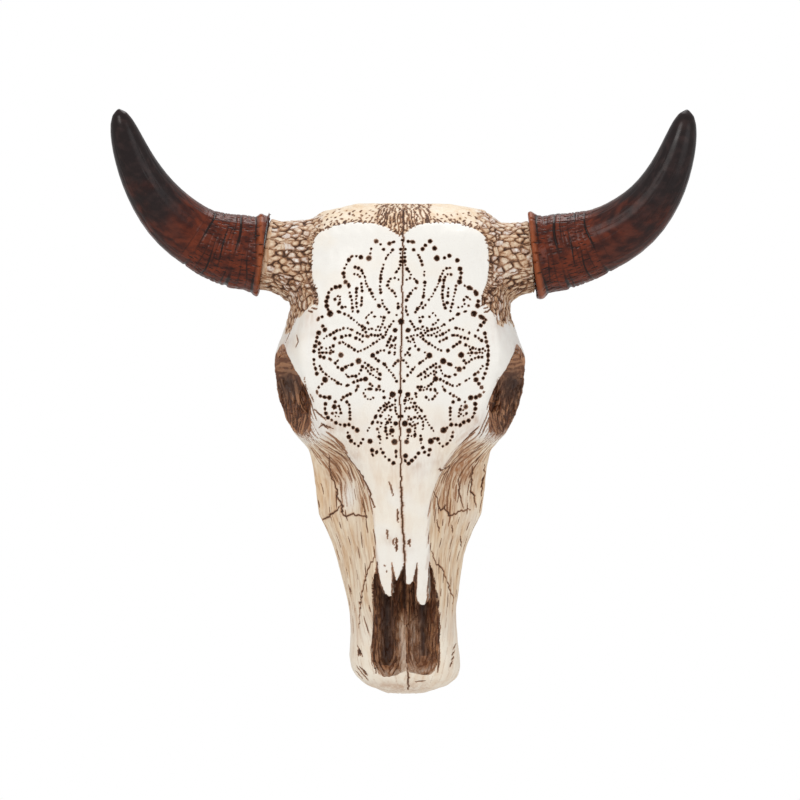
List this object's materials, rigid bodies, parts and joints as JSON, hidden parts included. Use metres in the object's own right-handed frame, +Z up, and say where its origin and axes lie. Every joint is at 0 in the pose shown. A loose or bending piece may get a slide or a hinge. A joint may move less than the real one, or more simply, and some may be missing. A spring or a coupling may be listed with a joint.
{
  "type": "wall-hung cast cow skull with a tooled forehead",
  "caption": "Cast resin cow skull for a wall: tooled ivory forehead, carved crown, hollow sockets, nasal opening, dark upswept ringed horns, flat back with a hanging bar",
  "frame": {"origin": "middle of the flat back, level with the middle of the forehead plate's lower half", "axes": "+X to the right of the skull as it is looked at, +Z up, and the back faces +Y, so the face looks along -Y"},
  "size_m": [0.405, 0.106, 0.4081],
  "materials": {
    "ivory": "cast resin painted ivory, brushed with a warm tan wash that stays in its cuts, satin",
    "bone": "cast resin painted bone, brown wash over carved grain and cracks, satin",
    "carved_bone": "cast resin carved all over with short cuts, tan over dark brown, matt",
    "socket_brown": "cast resin with combed strokes, brown over near black, matt",
    "nasal_brown": "cast resin with long troughs, dark brown, satin",
    "horn": "cast resin, red-brown and ringed at the base to near black at the tip, semi-gloss",
    "steel": "plain drawn steel rod"
  },
  "bodies": {
    "root": {"cranium": "bone", "forehead_plate": "ivory", "nasal_bones": "ivory", "upper_jaw": "bone", "muzzle_tip": "ivory", "nasal_floor": "nasal_brown", "horn_core_left": "carved_bone", "horn_core_right": "carved_bone", "horn_left": "horn", "horn_right": "horn", "eye_socket_left": "socket_brown", "eye_socket_right": "socket_brown", "hanging_bar": "steel"}
  },
  "joints": []
}
